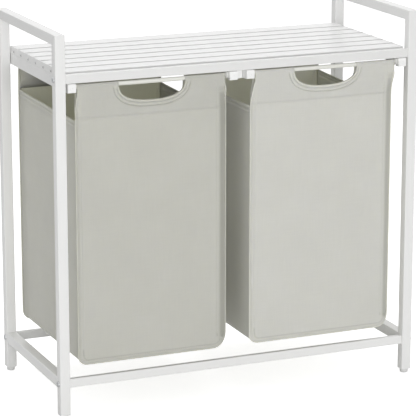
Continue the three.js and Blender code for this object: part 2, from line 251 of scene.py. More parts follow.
# Cross rails
# Flat rectangular tube between the posts at the bottom and under the shelf, coated like the side frames; the
# shelf rails' coat is darker, as painted shade.
rail_round = {"bottom": 0.0008, "shelf": 0.0009}
rail_painted_shade_coat = coated("shelf_rail_painted_shade_coat", (0.82, 0.82, 0.81), 0.42, bump=0.08, gloss=0.4)
for end in ends:
    dress(f"bottom_{end}_rail", coat, rail_round["bottom"])
    dress(f"shelf_{end}_rail", rail_painted_shade_coat, rail_round["shelf"])

# Feet
# Round glides of grey plastic, pressed into the posts.
glide_round = 0.0004
glide_grey = coated("foot_moulding", (0.76, 0.76, 0.75), 0.5, grain=1400, bump=0.2)
for side in sides:
    for end in ends:
        dress(f"foot_{end}_{side}", glide_grey, glide_round)

# Bolts
# Zinc plated socket-head bolts, from the outside of the posts into the rails.
bolt_round = 0.0003
zinc = coated("zinc_plating", (0.66, 0.67, 0.68), 0.32, grain=2200, depth=0.12, bump=0.25, metallic=0.9)
for side in sides:
    for end in ends:
        for level in ("bottom", "shelf"):
            dress(f"bolt_{level}_{end}_{side}", zinc, bolt_round)

# Shelf
# Seven flat slats of coated tube between two side plates, each end held by a small screw.
slat_coat = coated("white_slat_coat", (0.87, 0.87, 0.865), 0.4, bump=0.08, gloss=0.45)
slat_count = 7
slat_round = 0.0004
plate_round = 0.0003
for number in range(1, slat_count + 1):
    dress(f"shelf_slat_{number}", slat_coat, slat_round)
for side in sides:
    dress(f"shelf_side_plate_{side}", coat, plate_round)

screw_radius = 0.0027
screw_height = 0.0011
screw_sunk = 0.0002
screw_drop = 0.0088
# The cross recess in each head is not cut: a dark cross set a hair proud of the head stands in for the shade
# inside it, which is painted shade
cross_reach = screw_radius * 0.55
cross_half = 0.00035
cross_depth = 0.0007
cross_proud = 0.00003


def spun(profile, steps):
    """Vertices and faces of a profile of (radius, height) turned round Z; it starts and ends on the axis."""
    inner = profile[1:-1]
    points = [(0, 0, profile[0][1]), (0, 0, profile[-1][1])]
    for radius, height in inner:
        for i in range(steps):
            turn = 2 * math.pi * i / steps
            points.append((radius * math.cos(turn), radius * math.sin(turn), height))
    faces = []
    for i in range(steps):
        j = (i + 1) % steps
        faces.append((0, 2 + j, 2 + i))
        for ring in range(len(inner) - 1):
            a = 2 + ring * steps
            b = a + steps
            faces.append((a + i, a + j, b + j, b + i))
        last = 2 + (len(inner) - 1) * steps
        faces.append((1, last + i, last + j))
    return np.array(points), faces


def mesh_of(name, parts):
    """One mesh from several (points, faces)."""
    points, faces, start = [], [], 0
    for some_points, some_faces in parts:
        points.extend(tuple(float(v) for v in p) for p in some_points)
        faces.extend(tuple(i + start for i in face) for face in some_faces)
        start += len(some_points)
    mesh = bpy.data.meshes.new(name)
    mesh.from_pydata(points, [], faces)
    mesh.shade_smooth()
    return mesh


def boxed(low, high):
    """Points and faces of a small block between two corners."""
    xs, ys, zs = zip(low, high)
    points = [(x, y, z) for x in xs for y in ys for z in zs]
    faces = [(0, 1, 3, 2), (4, 6, 7, 5), (0, 4, 5, 1), (2, 3, 7, 6), (0, 2, 6, 4), (1, 5, 7, 3)]
    return np.array(points), faces


screw_profile = [
    (0, -screw_sunk), (screw_radius, -screw_sunk), (screw_radius, screw_height * 0.35),
    (screw_radius * 0.82, screw_height * 0.85), (screw_radius * 0.4, screw_height), (0, screw_height),
]
screw_paint = coated("screw_paint", (0.6, 0.6, 0.6), 0.4, grain=2200, bump=0.2, metallic=0.3)
# Painted shade: the dark colour of the crosses on the screw heads
recess_painted_shade = coated("screw_recess_painted_shade", (0.12, 0.12, 0.12), 0.7)
for side, sign in (("left", -1), ("right", 1)):
    heads, crosses = [], []
    face_x = abs(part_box(f"shelf_side_plate_{side}")[0 if sign < 0 else 1].x)
    for number in range(1, slat_count + 1):
        slat_low, slat_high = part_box(f"shelf_slat_{number}")
        centre = np.array([sign * face_x, (slat_low.y + slat_high.y) / 2, slat_high.z - screw_drop])
        points, faces = spun(screw_profile, 16)
        lying = np.stack([points[:, 2], points[:, 1], -points[:, 0]], axis=1)
        if sign < 0:
            lying = lying * np.array([-1, -1, 1])
        heads.append((lying + centre, faces))
        tip = sign * (face_x + screw_height)
        x0, x1 = sorted((tip - sign * cross_depth, tip + sign * cross_proud))
        for y_half, z_half in ((cross_reach, cross_half), (cross_half, cross_reach)):
            low = (x0, centre[1] - y_half, centre[2] - z_half)
            high = (x1, centre[1] + y_half, centre[2] + z_half)
            crosses.append(boxed(low, high))
    row = link(f"slat_screws_{side}", mesh_of(f"slat_screws_{side}", heads))
    row.data.materials.append(screw_paint)
    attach(row, "frame")
    marks = link(f"slat_screw_recess_painted_shades_{side}", mesh_of(f"slat_screw_recess_painted_shades_{side}", crosses))
    marks.data.materials.append(recess_painted_shade)
    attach(marks, "frame")

# Runner channels
# Folded steel under the shelf ends and its middle, open towards the bags.
# A moulded plug closes each end of the middle one.
sheet_round = 0.0003
channel_coat = coated("channel_coat", (0.88, 0.88, 0.87), 0.42)
for place in ("left", "right", "centre"):
    dress(f"runner_channel_{place}", channel_coat, sheet_round)

moulding = coated("block_moulding", (0.94, 0.94, 0.93), 0.42, grain=1100, depth=0.03, bump=0.3)
plug_half = 0.0061
plug_inset = 0.0008
plug_lip = 0.0011
plug_reach = 0.006
plug_wall = 0.0013
plug_round = 0.0004
channel_low, channel_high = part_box("runner_channel_centre")
for end, toward in (("front", -1), ("back", 1)):
    mouth = channel_low.y if toward < 0 else channel_high.y
    plug_parts = []
    for half_wide, inset, depth in (
        (plug_half, plug_inset, toward * plug_lip),
        (plug_half - plug_wall, 2 * plug_inset, -toward * plug_reach),
    ):
        y0, y1 = sorted((mouth, mouth + depth))
        low = (-half_wide, y0, channel_low.z + inset)
        high = (half_wide, y1, channel_high.z - inset)
        plug_parts.append(boxed(low, high))
    plug = link(f"centre_channel_{end}_plug", mesh_of(f"centre_channel_{end}_plug", plug_parts))
    plug.data.materials.append(moulding)
    soft = plug.modifiers.new("soft_edges", "BEVEL")
    soft.width = plug_round
    soft.segments = 3
    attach(plug, "frame")

# Bag carriers
# For each bag two coated runner bars with moulded blocks in front and glides at the back, joined by two rods.
# A moulded collar keeps the sleeve off the right block, and a cap is pressed into the face of each block.
block_round = 0.0009
glide_edge = 0.0005
rod_coat = coated("rod_coat", (0.80, 0.80, 0.745), 0.42)
for bag in sides:
    for hand in sides:
        dress(f"{bag}_carrier_front_{hand}_block", moulding, block_round, 3)
        dress(f"{bag}_carrier_back_{hand}_glide", moulding, glide_edge)
        dress(f"{bag}_carrier_{hand}_runner", channel_coat, sheet_round)
    for end in ends:
        dress(f"{bag}_carrier_{end}_rod", rod_coat, sheet_round)

collar_grey = coated("collar_moulding", (0.56, 0.56, 0.55), 0.45, grain=1500, depth=0.06, bump=0.3)
collar_length = 0.0066
collar_radius = 0.0062
collar_place = 0.0072
collar_profile = [
    (0, 0), (0.0046, 0), (0.0058, 0.0004), (collar_radius, 0.0010), (collar_radius, 0.0024), (0.0056, 0.0028),
    (0.0056, 0.0036), (collar_radius, 0.0040), (collar_radius, collar_length - 0.0008),
    (0.0057, collar_length), (0, collar_length),
]
cap_profile = [
    (0, -0.0003), (0.0034, -0.0003), (0.0034, 0.0001), (0.0031, 0.0004), (0.0026, 0.0004), (0.0023, 0.0001),
    (0.0009, 0.0001), (0, 0.0001),
]
for bag in sides:
    collars, caps = [], []
    block_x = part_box(f"{bag}_carrier_front_right_block")[0].x
    for end in ends:
        rod_low, rod_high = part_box(f"{bag}_carrier_{end}_rod")
        points, faces = spun(collar_profile, 28)
        lying = np.stack([points[:, 2], points[:, 0], points[:, 1]], axis=1)
        centre = ((rod_low.y + rod_high.y) / 2, (rod_low.z + rod_high.z) / 2)
        collars.append((lying + np.array([block_x - collar_place, *centre]), faces))
    for hand in sides:
        block_low, block_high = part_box(f"{bag}_carrier_front_{hand}_block")
        points, faces = spun(cap_profile, 24)
        facing = np.stack([points[:, 0], -points[:, 2], points[:, 1]], axis=1)
        middle = (block_low + block_high) / 2
        caps.append((facing + np.array([middle.x, block_low.y, middle.z]), faces))
    for name, parts, paint in (("rod_collars", collars, collar_grey), ("block_caps", caps, moulding)):
        trim = link(f"{bag}_carrier_{name}", mesh_of(f"{bag}_carrier_{name}", parts))
        trim.data.materials.append(paint)
        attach(trim, f"{bag}_carrier")

# Bags
# Light greige plain-weave cloth: a front and a back panel folded over the rods, with a facing inside and a
# hand hole bound through both layers, and one strip for both sides and the base. The seams are bound welts.
# Both bags are of one cloth; the left bag's darker colour is painted shade
cloth_colour_left_painted_darker = {"left": (0.605, 0.602, 0.533), "right": (0.715, 0.712, 0.632)}
cloth_finish = {
    "Roughness": 0.85, "Specular IOR Level": 0.25, "Sheen Weight": 0.1, "Sheen Roughness": 0.5,
    "Subsurface Weight": 0.6, "Subsurface Radius": (0.0048, 0.0048, 0.0038), "Subsurface Scale": 1,
}
cloud_tint = (0.97, 1.03)
# Colour of the cloth under full painted shade, as a share of its own colour
painted_shade_tint = 0.75
crumpled = {"Scale": 34, "From": 0.50, "To": 0.60}
slub_rate = (420, 22)
thread_colour = (0.64, 0.635, 0.585)
threads_per_metre = 1250
cloth_gauge = 0.0010
cloth_seed = {"left": {"front": 11, "back": 16}, "right": {"front": 23, "back": 28}}

# The pattern, in metres on the flat cloth
side_top = {"left": 0.561, "right": 0.5535}
side_sag = 0.0022
flap_top = 0.6117
facing_end = 0.5645
facing_inset = 0.0010
wrap_radius = 0.0047
hole_half = 0.065
hole_depth = 0.0315
hole_power = 2.5
hole_drop = 0.003
rim_clear = 0.004
corner_round = {"left": 0.016, "right": 0.024}

# How it hangs: the sleeve's ends lie in from the rod's ends, and the bag below it starts right of the CAD
# panel's left edge and ends a little more than the sleeve's length right of it
sleeve_inset = {"left": 0.0024, "right": 0.0084}
bag_offset = {"left": 0.0012, "right": 0.0042}
sway_from = 0.06
sleeve_belly = 0.0014
sleeve_opens = 3.2
sewn_gap = 0.0018
binding_hold = {"share": 0.9, "width": 0.020, "below_rod": 0.006, "over": 0.016}
edge_bend = 0.22
turned_edge = {
    # width over which the cloth turns back, how far back the seam lies, how far it stands out sideways
    "left": (0.0056, 0.0046, 0), "right": (0.0168, 0.0212, 0.0070),
    "base": (0.0078, 0.0060, 0), "back": (0.0056, 0.0030, 0),
}
turn_ends = (0.570, 0.615)
base_turn = {"above": 0.004, "over": 0.022}
spread_reach = 0.09
sag_waves = {"count": 7, "across": 24, "up": 13, "height": 0.00042}
fine_waves = {"count": 16, "across": 120, "up": 90, "height": 0.00011}
fine_from = {"height": 0.47, "over": 0.10}
still_edge = 0.03

# Folds of the strip: hollow sides with a wide fold and some creases, and a base with shallow folds
side_hollow = 0.0022
side_fold = {"height": 0.0016, "up": 13, "across": 9, "start": {"left": 1.2, "right": 2.4}}
side_crease = {"height": 0.0007, "up": 6, "across": 48}
base_fold = {"height": 0.0005, "along": 40}
base_reach = 0.06

# Stitch rows and the foot of the binding, by the distance from the edge that each follows
hole_row = 0.0098
binding_foot = 0.0036
facing_row = 0.0030
hem_row = 0.0122
stitch_pitch = 0.0043
stitch_length = stitch_pitch * 0.68
stitch_section = (0.00034, 0.00030)
stitch_rise = (-0.0002, 0.0002, 0.0002, -0.0002)
stitch_ends = {"above_base": 0.032, "below_flap": 0.03, "base": 0.012, "corner": 0.034, "facing": 0.012}

# Ridges and, where negative, grooves beside the rows: height, distance and width
pucker_depth = 0.004
seam_ridges = ((0.0009, 0.0004, 0.0010), (-0.0004, 0.0030, 0.0014))
facing_ridges = ((0.0010, -0.0004, 0.0019), (-0.0006, facing_row, 0.0014))
hole_grooves = ((0.0022, hole_row, 0.0011), (0.0015, binding_foot, 0.0010))
hem_ridges = (
    (0.0010, 0.0012, 0.0018), (-0.0013, 0.0048, 0.0013), (0.0008, 0.0078, 0.0018), (-0.0011, 0.0120, 0.0013),
)
hem_reach = 0.12
hem_fade = {"seam": 0.004, "over": 0.010}
hole_ring = {"height": 0.0007, "edge": 0.0096, "over": 0.0012}
groove_fade = {"below_rod": 0.003, "over": 0.006, "seam": 0.008}

# Painted shade along them, given in the same way: how much darker the cloth is painted where the rows and
# grooves would hold shade
hole_painted_shade = ((0.95, hole_row, 0.0012), (0.7, binding_foot, 0.0010))
facing_painted_shade = ((0.2, facing_row, 0.0016),)
seam_painted_shade = ((0.75, 0.0012, 0.0012),)
base_painted_shade_reach = 0.03
edge_painted_shade_rise = 2.2

# Welts, bindings and hems: half width and half thickness
welt_section = (0.0021, 0.0011)
welt_proud = 0.0003
welt_lean = 0.45
welt_fade = {"top": 0.0005, "over": 0.012, "least": 0.15}
hole_roll = {"front": (0.0014, 0.0013), "facing": (0.0012, 0.0010)}
hole_roll_proud = 0.0006
facing_side_roll = (0.0010, 0.0009)
hem_roll = {"end": 0.0010, "middle": 0.0022}

# The mesh: its grid, and the distances from an edge at which it has rows of points
grid_step = 0.0064
row_clear = grid_step * 0.55
edge_clear = 0.0009
seam_mesh_rows = (
    0.0012, 0.0028, 0.0042, 0.0052, 0.0062, 0.0074, 0.0088, 0.0106,
    0.0124, 0.0142, 0.0156, 0.0168, 0.0180, 0.0192, 0.0208, 0.0226,
)
hole_mesh_rows = (0.0012, 0.0024, 0.0036, 0.0048, 0.0062, 0.0076, 0.0086, 0.0094, 0.0102, 0.0112, 0.0128)
facing_mesh_rows = (-0.0040, -0.0020, -0.0004, 0.0014, 0.0030, 0.0046, 0.0068)
hem_mesh_rows = (0.0012, 0.0030, 0.0048, 0.0062, 0.0078, 0.0100, 0.0122, 0.0142)
seam_step = 0.004
trim_step = 0.003
rim_step = 0.002
facing_step = 0.006

weave_group, nodes, links, entry, leave = new_group("plain_weave", ["Flat", "Threads"], ["Height", "Shade"])


def node_sum(kind, a, b=None, c=None):
    """A maths node in the group that is being built; a socket is linked, a number is set."""
    made = add_node(nodes, "Math", operation=kind)
    for socket, value in zip(made.inputs, (a, b, c)):
        if isinstance(value, (int, float)):
            socket.default_value = value
        elif value is not None:
            links.new(value, socket)
    return made.outputs["Value"]


turns = node_sum("MULTIPLY", entry.outputs["Threads"], math.pi)
apart = add_node(nodes, "SeparateXYZ")
links.new(entry.outputs["Flat"], apart.inputs["Vector"])
across = node_sum("SINE", node_sum("MULTIPLY", apart.outputs["X"], turns))
along = node_sum("SINE", node_sum("MULTIPLY", apart.outputs["Y"], turns))
over = node_sum("MULTIPLY_ADD", node_sum("MULTIPLY", across, along), 0.5, 0.5)
warp_top = node_sum("MULTIPLY", node_sum("ABSOLUTE", across), over)
weft_top = node_sum("MULTIPLY", node_sum("ABSOLUTE", along), node_sum("SUBTRACT", 1, over))
links.new(node_sum("MAXIMUM", warp_top, weft_top), leave.inputs["Height"])
slub = []
for stretch in (slub_rate, slub_rate[::-1]):
    scale = add_node(nodes, "VectorMath", operation="MULTIPLY")
    scale.inputs[1].default_value = (*stretch, 1)
    noise = add_node(nodes, "TexNoise", {"Scale": 1, "Detail": 3})
    links.new(entry.outputs["Flat"], scale.inputs[0])
    links.new(scale.outputs["Vector"], noise.inputs["Vector"])
    slub.append(noise.outputs["Fac"])
links.new(node_sum("MULTIPLY", node_sum("ADD", slub[0], slub[1]), 0.5), leave.inputs["Shade"])

crumple_group, nodes, links, entry, leave = new_group("crumple", ["Scale", "From", "To"], ["Height"])
where = add_node(nodes, "TexCoord")
folds = add_node(nodes, "TexNoise", {"Detail": 4, "Roughness": 0.55, "Distortion": 1.1})
apart = add_node(nodes, "SeparateXYZ")
rise = add_node(nodes, "MapRange", {"To Min": 0.10, "To Max": 1}, interpolation_type="SMOOTHSTEP")
links.new(where.outputs["Object"], folds.inputs["Vector"])
links.new(where.outputs["Object"], apart.inputs["Vector"])
links.new(entry.outputs["Scale"], folds.inputs["Scale"])
links.new(apart.outputs["Z"], rise.inputs["Value"])
links.new(entry.outputs["From"], rise.inputs["From Min"])
links.new(entry.outputs["To"], rise.inputs["From Max"])
ridges = node_sum("ABSOLUTE", node_sum("SUBTRACT", folds.outputs["Fac"], 0.5))
links.new(node_sum("MULTIPLY", ridges, rise.outputs["Result"]), leave.inputs["Height"])


def bag_cloth(name, colour):
    """Clouded plain weave with fine folds near its top, darkened with painted shade where the mesh marks it.
    """
    made, nodes, links, shader = new_material(name)

    def tinted(factor):
        return (*(min(1, c * factor) for c in colour), 1)

    flat = add_node(nodes, "UVMap", uv_map="cloth")
    weave = add_node(nodes, "Group", node_tree=weave_group)
    weave.inputs["Threads"].default_value = threads_per_metre
    crumple = add_node(nodes, "Group", crumpled, node_tree=crumple_group)
    cloud = add_node(nodes, "TexNoise", {"Scale": 11, "Detail": 3})
    mixed = add_node(nodes, "Math", operation="ADD")
    factor = add_node(nodes, "MapRange", {"From Min": 0.7, "From Max": 1.3})
    ends_tinted = {"A": tinted(cloud_tint[0]), "B": tinted(cloud_tint[1])}
    tint = add_node(nodes, "Mix", ends_tinted, data_type="RGBA")
    # Painted shade: where the mesh marks it, the cloth's colour is darkened
    edge = add_node(nodes, "Attribute", attribute_name="painted_shade")
    painted_shade = add_node(nodes, "Mix", {"B": tinted(painted_shade_tint)}, data_type="RGBA")
    creases = add_node(nodes, "Bump", {"Strength": 0.5, "Distance": 0.004})
    threads = add_node(nodes, "Bump", {"Strength": 0.2, "Distance": 0.0002})
    links.new(flat.outputs["UV"], weave.inputs["Flat"])
    links.new(flat.outputs["UV"], cloud.inputs["Vector"])
    links.new(weave.outputs["Shade"], mixed.inputs[0])
    links.new(cloud.outputs["Fac"], mixed.inputs[1])
    links.new(mixed.outputs["Value"], factor.inputs["Value"])
    links.new(factor.outputs["Result"], tint.inputs["Factor"])
    links.new(edge.outputs["Fac"], painted_shade.inputs["Factor"])
    links.new(tint.outputs["Result"], painted_shade.inputs["A"])
    links.new(painted_shade.outputs["Result"], shader.inputs["Base Color"])
    links.new(crumple.outputs["Height"], creases.inputs["Height"])
    links.new(weave.outputs["Height"], threads.inputs["Height"])
    links.new(creases.outputs["Normal"], threads.inputs["Normal"])
    links.new(threads.outputs["Normal"], shader.inputs["Normal"])
    for socket, value in cloth_finish.items():
        shader.inputs[socket].default_value = value
    return made


def smooth(value):
    """A soft step from 0 at 0 to 1 at 1."""
    value = np.clip(value, 0, 1)
    return value * value * (3 - 2 * value)


def near(value, centre, width):
    """A soft hump of height 1 round a centre."""
    return np.exp(-(((value - centre) / width) ** 2))


def humps(value, rows, start=0):
    """Soft humps, added up, from rows of height, distance from the start, and width."""
    return sum(height * near(value, start + place, width) for height, place, width in rows)


def unit(rows):
    """Vectors made one long."""
    return rows / np.linalg.norm(rows, axis=1)[:, None]


def square_to(rows, ahead):
    """Vectors turned square to unit vectors ahead, and made one long."""
    return unit(rows - ahead * np.sum(rows * ahead, axis=1)[:, None])


def reach_along(line):
    """The length of a polyline up to each of its points."""
    return np.concatenate([[0], np.cumsum(np.linalg.norm(np.diff(line, axis=0), axis=1))])


def resample(points, step):
    """Points along a polyline, its own corners kept."""
    out = []
    for a, b in zip(points, points[1:]):
        a, b = np.array(a, float), np.array(b, float)
        count = max(1, round(np.linalg.norm(b - a) / step))
        out.extend(a + (b - a) * i / count for i in range(count))
    out.append(np.array(points[-1], float))
    return np.array(out)


def inside(points, outline):
    """Which points lie inside a closed outline."""
    x, y = points[:, 0], points[:, 1]
    hit = np.zeros(len(points), bool)
    for (xa, ya), (xb, yb) in zip(outline, np.roll(outline, -1, axis=0)):
        if ya != yb:
            crosses = (ya > y) != (yb > y)
            hit ^= crosses & (x < (xb - xa) * (y - ya) / (yb - ya) + xa)
    return hit


def nearest(points, line):
    """Distance from each point to an open polyline, and the index of the nearest of its legs."""
    best = np.full(len(points), np.inf)
    index = np.zeros(len(points), int)
    for i, (a, b) in enumerate(zip(line, line[1:])):
        ab = b - a
        share = np.clip(((points - a) @ ab) / max(ab @ ab, 1e-18), 0, 1)
        gap = np.linalg.norm(points - (a + share[:, None] * ab), axis=1)
        closer = gap < best
        best[closer] = gap[closer]
        index[closer] = i
    return best, index


def beside(line, gap):
    """A polyline moved sideways to its left by a gap, without the points that come too close at corners."""
    gap = np.broadcast_to(gap, len(line))
    tangent = np.gradient(line, axis=0)
    tangent /= np.maximum(np.linalg.norm(tangent, axis=1)[:, None], 1e-12)
    moved = line + gap[:, None] * np.stack([-tangent[:, 1], tangent[:, 0]], axis=1)
    return moved[nearest(moved, line)[0] > np.abs(gap) * 0.97]


def cut_cloth(outline, holes, rows):
    """Flat points and triangles of a cloth piece cut to an outline: extra rows of points follow its seams."""
    loops = [outline, *holes]
    low, high = outline.min(axis=0), outline.max(axis=0)
    xs = np.arange(low[0] + grid_step / 2, high[0], grid_step)
    ys = np.arange(low[1] + grid_step / 2, high[1], grid_step)
    grid = np.stack(np.meshgrid(xs, ys), axis=-1).reshape(-1, 2)
    rows = np.concatenate(rows)
    far = np.ones(len(grid), bool)
    for i in range(0, len(grid), 512):
        block = grid[i:i + 512, None, :] - rows[None, :, :]
        far[i:i + 512] = np.linalg.norm(block, axis=2).min(axis=1) > row_clear
    grid = np.concatenate([rows, grid[far]])
    keep = inside(grid, outline)
    for hole in holes:
        keep &= ~inside(grid, hole)
    grid = grid[keep]
    for loop in loops:
        grid = grid[nearest(grid, np.concatenate([loop, loop[:1]]))[0] > edge_clear]
    points, edges = [], []
    for loop in loops:
        start = len(points)
        points.extend(loop)
        edges.extend((start + i, start + (i + 1) % len(loop)) for i in range(len(loop)))
    points.extend(grid)
    found = delaunay_2d_cdt([Vector(p) for p in points], edges, [], 0, 1e-7, False)
    flat = np.array([tuple(p) for p in found[0]])
    faces = np.array(found[2])
    middle = flat[faces].mean(axis=1)
    keep = inside(middle, outline)
    for hole in holes:
        keep &= ~inside(middle, hole)
    return flat, faces[keep]


def cloth_piece(name, flat, faces, placed, material, flip=False):
    """A cloth object: its placed points, with the flat pattern as its UV map, given its thickness."""
    if flip:
        faces = faces[:, ::-1]
    mesh = bpy.data.meshes.new(name)
    mesh.from_pydata([tuple(p) for p in placed.tolist()], [], [tuple(f) for f in faces.tolist()])
    layer = mesh.uv_layers.new(name="cloth")
    layer.data.foreach_set("uv", flat[faces.ravel()].astype(np.float32).ravel())
    mesh.shade_smooth()
    mesh.materials.append(material)
    piece = link(name, mesh)
    thick = piece.modifiers.new("gauge", "SOLIDIFY")
    thick.thickness = cloth_gauge
    thick.offset = 0
    return piece


def swept(path, out, up, section):
    """Points and faces of a closed section swept along a path: out and up are its axes at each point."""
    section = np.asarray(section, float)
    if section.ndim == 2:
        section = np.broadcast_to(section, (len(path), *section.shape))
    count = section.shape[1]
    points = path[:, None, :] + section[:, :, :1] * out[:, None, :] + section[:, :, 1:] * up[:, None, :]
    faces = []
    for i in range(len(path) - 1):
        a, b = i * count, (i + 1) * count
        faces.extend((a + k, a + (k + 1) % count, b + (k + 1) % count, b + k) for k in range(count))
    faces.append(tuple(range(count - 1, -1, -1)))
    faces.append(tuple((len(path) - 1) * count + k for k in range(count)))
    return points.reshape(-1, 3), faces


def ring(wide, thick, steps=10):
    """A flat round section of a welt, binding, hem or thread."""
    turn = np.linspace(0, 2 * math.pi, steps, endpoint=False)
    return np.stack([wide * np.cos(turn), thick * np.sin(turn)], axis=1)


def trim_piece(name, parts, material, body):
    """A sewn trim, such as a welt, binding or row of stitches, as one object on a carrier."""
    piece = link(name, mesh_of(name, parts))
    layer = piece.data.uv_layers.new(name="cloth")
    where = np.array([piece.data.vertices[loop.vertex_index].co for loop in piece.data.loops])
    flat = np.stack([where[:, 0] + where[:, 1], where[:, 2]], axis=1)
    layer.data.foreach_set("uv", flat.astype(np.float32).ravel())
    piece.data.materials.append(material)
    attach(piece, body)
    return piece


def stitch_row(line, normals):
    """Short raised threads along a line on the cloth, with gaps between them."""
    reach = reach_along(line)
    parts = []
    for start in np.arange(stitch_pitch * 0.2, reach[-1] - stitch_pitch, stitch_pitch):
        at = np.linspace(start, start + stitch_length, len(stitch_rise))
        spine = np.stack([np.interp(at, reach, line[:, k]) for k in range(3)], axis=1)
        normal = unit(np.stack([np.interp(at, reach, normals[:, k]) for k in range(3)], axis=1))
        spine += normal * (cloth_gauge / 2 + np.array(stitch_rise))[:, None]
        ahead = spine[-1] - spine[0]
        out = np.cross(normal, ahead / np.linalg.norm(ahead))
        parts.append(swept(spine, out, normal, ring(*stitch_section, 6)))
    return parts


def drawn_waves(rng, kind):
    """Random waves of one kind: how fast each runs across and up, and where it starts."""
    fast, up = kind["across"], kind["up"]
    return [
        (rng.uniform(-fast, fast), rng.uniform(-up, up), rng.uniform(0, 6.28)) for _ in range(kind["count"])
    ]


def waved(drawn, kind, s, z):
    """The sum of drawn waves at places on the cloth."""
    return sum(kind["height"] * np.sin(kx * s + kz * z + turn) for kx, kz, turn in drawn)


thread = coated("bag_thread", thread_colour, 0.7, grain=1600, bump=0.3)

for bag in sides:
    body = f"{bag}_carrier"
    cloth = bag_cloth(f"{bag}_bag_cloth", cloth_colour_left_painted_darker[bag])
    panel_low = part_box(f"{bag}_bag_front_panel")[0]
    rod_low, rod_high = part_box(f"{bag}_carrier_front_rod")
    rod_z = (rod_low.z + rod_high.z) / 2
    rod_y = abs((rod_low.y + rod_high.y) / 2)
    bottom = panel_low.z
    # The sleeve lies between the left block and the collar, and the bag below it may hang to one side
    sleeve_left = rod_low.x + sleeve_inset["left"]
    sleeve_right = rod_high.x - sleeve_inset["right"]
    mid_x = (sleeve_left + sleeve_right) / 2
    half = (sleeve_right - sleeve_left) / 2
    bag_left = panel_low.x + bag_offset["left"]
    bag_right = panel_low.x + 2 * half + bag_offset["right"]
    face = rod_y + wrap_radius
    # On the flat the cloth goes over the rod from rod_z to fold_end; fold_sum less a height gives the height
    # that faces it on the other layer
    arc_length = math.pi * wrap_radius
    fold_end = rod_z + arc_length
    fold_sum = 2 * rod_z + arc_length
    top_end = fold_end + rod_z - facing_end

    def across_x(s, z):
        """Where a point at s from the panel's middle and height z lies across the frame."""
        shift = np.where(s < 0, bag_left - sleeve_left, bag_right - sleeve_right)
        lean = np.clip((flap_top - z) / (flap_top - side_top["left"]), 0, 1)
        lean = (lean + smooth(lean)) / 2
        return mid_x + s + shift * lean * smooth((np.abs(s) - sway_from) / (half - sway_from))

    def layers_apart(z, hole_gap):
        """How far the facing hangs behind the front cloth: the rod parts them, and the sewing joins them."""
        rise = np.clip((z - facing_end) / (rod_z - facing_end), 0, 1)
        below = smooth((rod_z - z - binding_hold["below_rod"]) / binding_hold["over"])
        bound = binding_hold["share"] * near(hole_gap, 0, binding_hold["width"]) * below
        open_by = smooth(rise * sleeve_opens) * (1 - bound)
        belly = sleeve_belly * np.sin(rise * math.pi)
        return sewn_gap + (2 * wrap_radius - sewn_gap) * open_by + belly * open_by

    def seam_path(step):
        """The seam of a panel and the strip on the flat: down the left, along the base, up the right."""
        left, right = corner_round["left"], corner_round["right"]
        quarter = np.linspace(0, math.pi / 2, 9)
        points = [(-half, flap_top), (-half, bottom + left)]
        for a in quarter[1:]:
            points.append((left * (1 - math.cos(a)) - half, bottom + left * (1 - math.sin(a))))
        for a in quarter:
            points.append((half - right * (1 - math.sin(a)), bottom + right * (1 - math.cos(a))))
        points.append((half, flap_top))
        return resample(points, step)

    def seam_turn(points, toward=-1):
        """The turned edge at points of the seam: its width, and how far back and sideways the seam lies."""
        share = smooth((points[:, 1] - bottom - base_turn["above"]) / base_turn["over"])
        kept = 1 - smooth((points[:, 1] - turn_ends[0]) / (turn_ends[1] - turn_ends[0]))
        kinds = ("left", "right") if toward < 0 else ("back", "back")
        measures = []
        for base, left, right in zip(turned_edge["base"], *(turned_edge[kind] for kind in kinds)):
            side = np.where(points[:, 0] > 0, right, left)
            measures.append(base * (1 - share) + side * share)
        wide, deep, spread = measures
        return wide, deep * kept, spread * kept

    seam = seam_path(seam_step)
    seam_length = reach_along(seam)
    tangent = unit(np.gradient(seam, axis=0))
    seam_out = np.stack([tangent[:, 1], -tangent[:, 0]], axis=1)

    # Hand hole: a flattened half round below the rod, mirrored over the fold into the facing
    hole_top = rod_z - hole_drop
    drop = []
    for a in np.linspace(math.pi, 0, 41):
        c = math.copysign(abs(math.cos(a)) ** (2 / hole_power), math.cos(a))
        drop.append((hole_half * c, hole_top - hole_depth * math.sin(a) ** (2 / hole_power)))
    rise = [(x, fold_sum - z) for x, z in reversed(drop)]
    hole = resample([*drop, *rise, drop[0]], trim_step)[:-1]
    drop = resample(drop, rim_step)

    for end, toward in (("front", -1), ("back", 1)):
        rng = np.random.default_rng(cloth_seed[bag][end])
        sags = drawn_waves(rng, sag_waves)
        creases = drawn_waves(rng, fine_waves)

        def place_panel(flat):
            """Points on the hung panel for points of its flat pattern, and how much painted shade they get
            there.
            """
            s, t = flat[:, 0], flat[:, 1]
            folded = np.stack([s, np.where(t > rod_z + arc_length / 2, fold_sum - t, t)], axis=1)
            gap, leg = nearest(folded, seam)
            hole_gap = nearest(folded, drop)[0]

            # Over the rod, and down behind it
            over = np.clip((t - rod_z) / arc_length, 0, 1) * math.pi
            down = np.maximum(0, t - rod_z - arc_length)
            z = np.where(t < rod_z, t, np.where(down > 0, rod_z - down, rod_z + wrap_radius * np.sin(over)))

            # Back to the seam, with a pucker beside it
            wide, deep, spread = (value[leg] for value in seam_turn(seam, toward))
            back = np.clip(1 - gap / wide, 0, 1)
            bent = np.where(back < edge_bend, back * back / (2 * edge_bend), back - edge_bend / 2)
            turned = deep * bent / (1 - edge_bend / 2)
            pucker = np.minimum(deep / pucker_depth, 1) * humps(gap, seam_ridges, wide)

            # Sagging a little between the seams, with finer waves near the top
            free = smooth((rod_z - z) / still_edge) * smooth(gap / still_edge)
            top = smooth((z - fine_from["height"]) / fine_from["over"])
            hang = (waved(sags, sag_waves, s, z) + top * waved(creases, fine_waves, s, z)) * free

